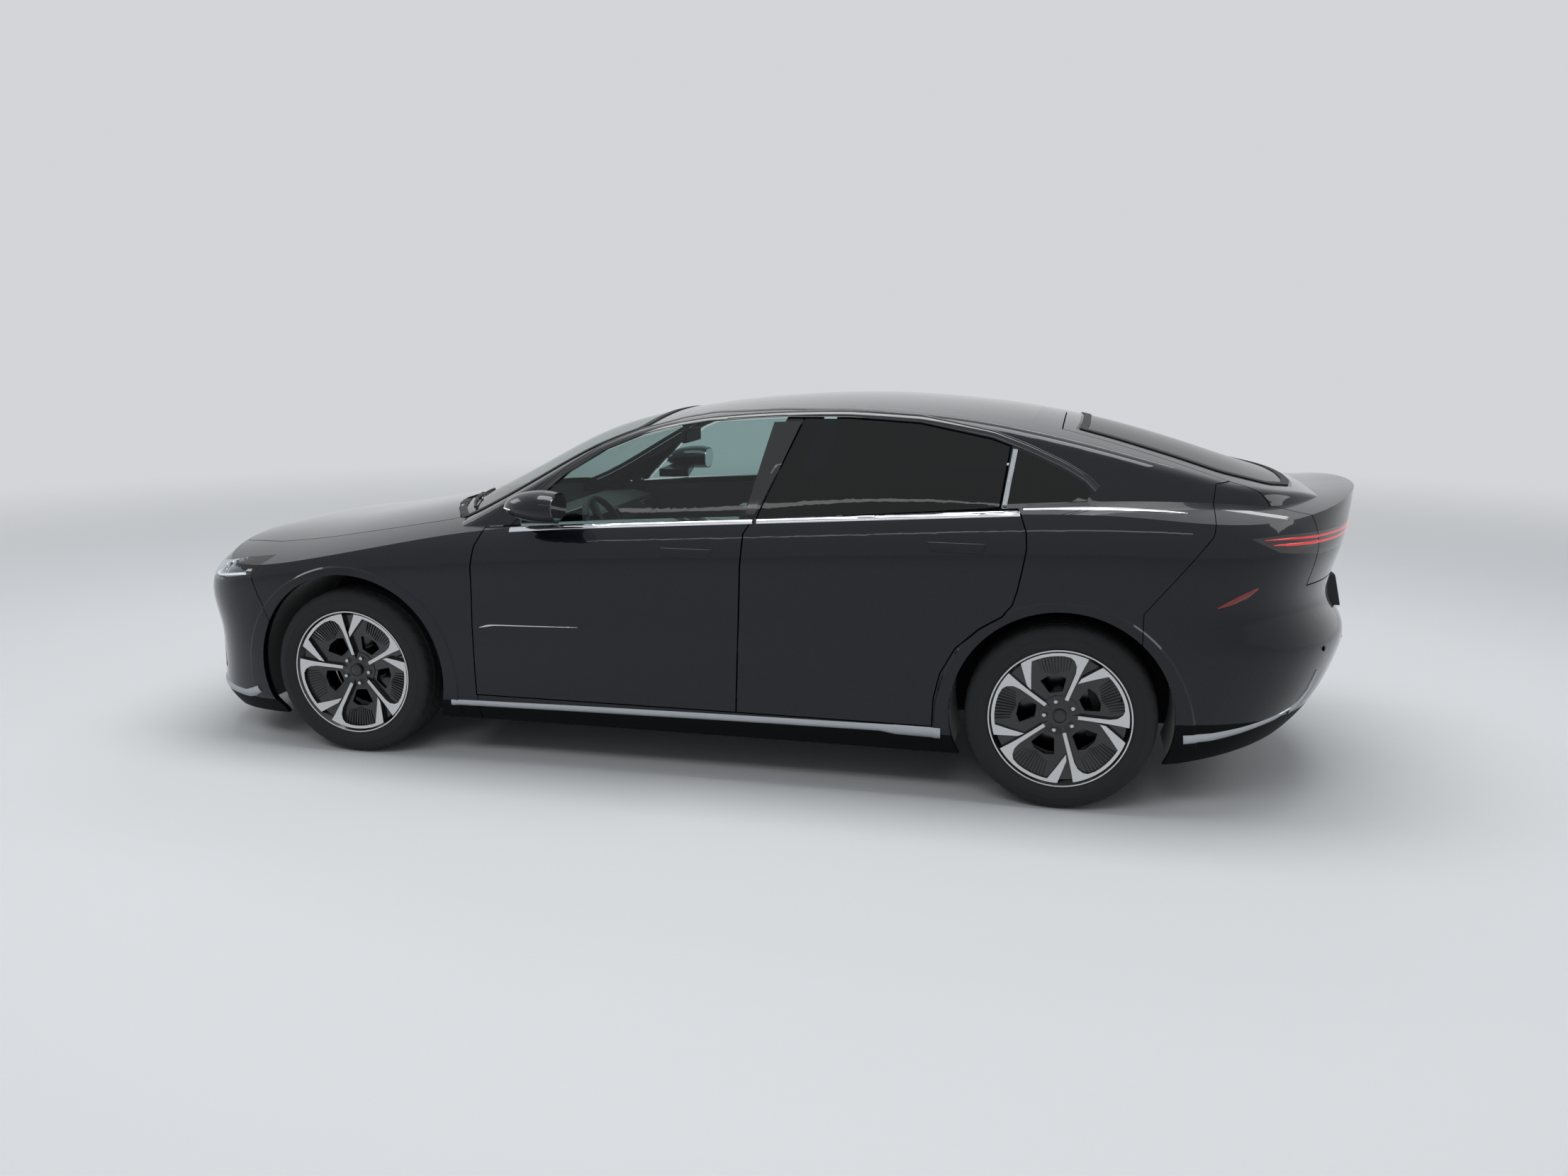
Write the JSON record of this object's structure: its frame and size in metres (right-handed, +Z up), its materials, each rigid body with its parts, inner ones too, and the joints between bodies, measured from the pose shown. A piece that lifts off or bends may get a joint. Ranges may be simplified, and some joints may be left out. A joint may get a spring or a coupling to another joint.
{
  "type": "sedan car",
  "caption": "Five-door liftback sedan with opening doors, hood and tailgate, steered front wheels and a hollow cabin with seats",
  "frame": {"origin": "on the ground under the middle of the car's length and width", "axes": "+X to the nose, +Y to the car's left side, +Z up"},
  "size_m": [4.9201, 2.192, 1.4899],
  "materials": {
    "paint": "gloss",
    "roof_finish": "gloss",
    "side_glass": "polished",
    "privacy_glass": "polished",
    "lamp_lens": "polished",
    "tail_lens": "gloss",
    "underbody": "satin",
    "pack_case": "satin",
    "liner_plastic": "matte",
    "forged_steel": "satin",
    "cast_case": "satin",
    "cabin_trim": "matte",
    "seat_cover": "satin",
    "rim_metal": "polished",
    "tyre_rubber": "matte",
    "satin_trim": "satin",
    "gloss_trim": "gloss",
    "seal": "matte",
    "plate": "satin",
    "mirror_glass": "polished",
    "carpet": "matte",
    "headliner": "matte"
  },
  "bodies": {
    "body": {"quarter_glass": "privacy_glass", "headlamps": "lamp_lens", "front_bumper": "paint", "fender_left": "paint", "fender_right": "paint", "quarter_lamps": "tail_lens", "rear_bumper": "paint", "windscreen": "side_glass", "roof_panel": "roof_finish", "body_frame": "paint", "floor_pan": "underbody", "battery_pack": "pack_case", "arch_liners": "liner_plastic", "wheelhouse_walls": "underbody", "front_suspension": "forged_steel", "rear_axle": "forged_steel", "drive_units": "cast_case", "dashboard": "cabin_trim", "steering_wheel": "cabin_trim", "front_seats": "seat_cover", "rear_seat": "seat_cover"},
    "hood": {"hood": "paint"},
    "tailgate": {"tailgate": "paint", "rear_glass": "privacy_glass", "gate_lamp": "tail_lens"},
    "door_front_left": {"door_front_left": "paint", "glass_front_left": "side_glass", "mirror_left": "paint"},
    "door_front_right": {"door_front_right": "paint", "glass_front_right": "side_glass", "mirror_right": "paint"},
    "door_rear_left": {"door_rear_left": "paint", "glass_rear_left": "privacy_glass"},
    "door_rear_right": {"door_rear_right": "paint", "glass_rear_right": "privacy_glass"},
    "knuckle_left": {"knuckle_left": "forged_steel"},
    "knuckle_right": {"knuckle_right": "forged_steel"},
    "wheel_front_left": {"rim_front_left": "rim_metal", "tyre_front_left": "tyre_rubber"},
    "wheel_front_right": {"rim_front_right": "rim_metal", "tyre_front_right": "tyre_rubber"},
    "wheel_rear_left": {"rim_rear_left": "rim_metal", "tyre_rear_left": "tyre_rubber"},
    "wheel_rear_right": {"rim_rear_right": "rim_metal", "tyre_rear_right": "tyre_rubber"}
  },
  "joints": [
    {"name": "hood_hinge", "type": "hinge", "parent": "body", "child": "hood", "pos_m": [1.09, 0, 1.012], "axis": [0, -1, 0], "range_deg": [0, 55]},
    {"name": "tailgate_hinge", "type": "hinge", "parent": "body", "child": "tailgate", "pos_m": [-1.328, 0, 1.424], "axis": [0, 1, 0], "range_deg": [0, 62]},
    {"name": "front_left_door_hinge", "type": "hinge", "parent": "body", "child": "door_front_left", "pos_m": [0.962, 0.9335, 0.65], "axis": [0, 0, -1], "range_deg": [0, 68]},
    {"name": "front_right_door_hinge", "type": "hinge", "parent": "body", "child": "door_front_right", "pos_m": [0.962, -0.9335, 0.65], "axis": [0, 0, 1], "range_deg": [0, 68]},
    {"name": "rear_left_door_hinge", "type": "hinge", "parent": "body", "child": "door_rear_left", "pos_m": [-0.141, 0.9415, 0.65], "axis": [0, 0, -1], "range_deg": [0, 70]},
    {"name": "rear_right_door_hinge", "type": "hinge", "parent": "body", "child": "door_rear_right", "pos_m": [-0.141, -0.9415, 0.65], "axis": [0, 0, 1], "range_deg": [0, 70]},
    {"name": "steer_left", "type": "hinge", "parent": "body", "child": "knuckle_left", "pos_m": [1.5305, 0.745, 0.3515], "axis": [0, 0, 1], "range_deg": [-33, 33]},
    {"name": "steer_right", "type": "hinge", "parent": "body", "child": "knuckle_right", "pos_m": [1.5305, -0.745, 0.3515], "axis": [0, 0, 1], "range_deg": [-33, 33]},
    {"name": "spin_front_left", "type": "hinge", "parent": "knuckle_left", "child": "wheel_front_left", "pos_m": [1.5305, 0.7975, 0.3515], "axis": [0, 1, 0], "continuous": true},
    {"name": "spin_front_right", "type": "hinge", "parent": "knuckle_right", "child": "wheel_front_right", "pos_m": [1.5305, -0.7975, 0.3515], "axis": [0, 1, 0], "continuous": true},
    {"name": "spin_rear_left", "type": "hinge", "parent": "body", "child": "wheel_rear_left", "pos_m": [-1.3645, 0.7975, 0.3515], "axis": [0, 1, 0], "continuous": true},
    {"name": "spin_rear_right", "type": "hinge", "parent": "body", "child": "wheel_rear_right", "pos_m": [-1.3645, -0.7975, 0.3515], "axis": [0, 1, 0], "continuous": true}
  ],
  "couplings": [
    {"joint": "steer_right", "follows": "steer_left", "ratio": 1}
  ]
}
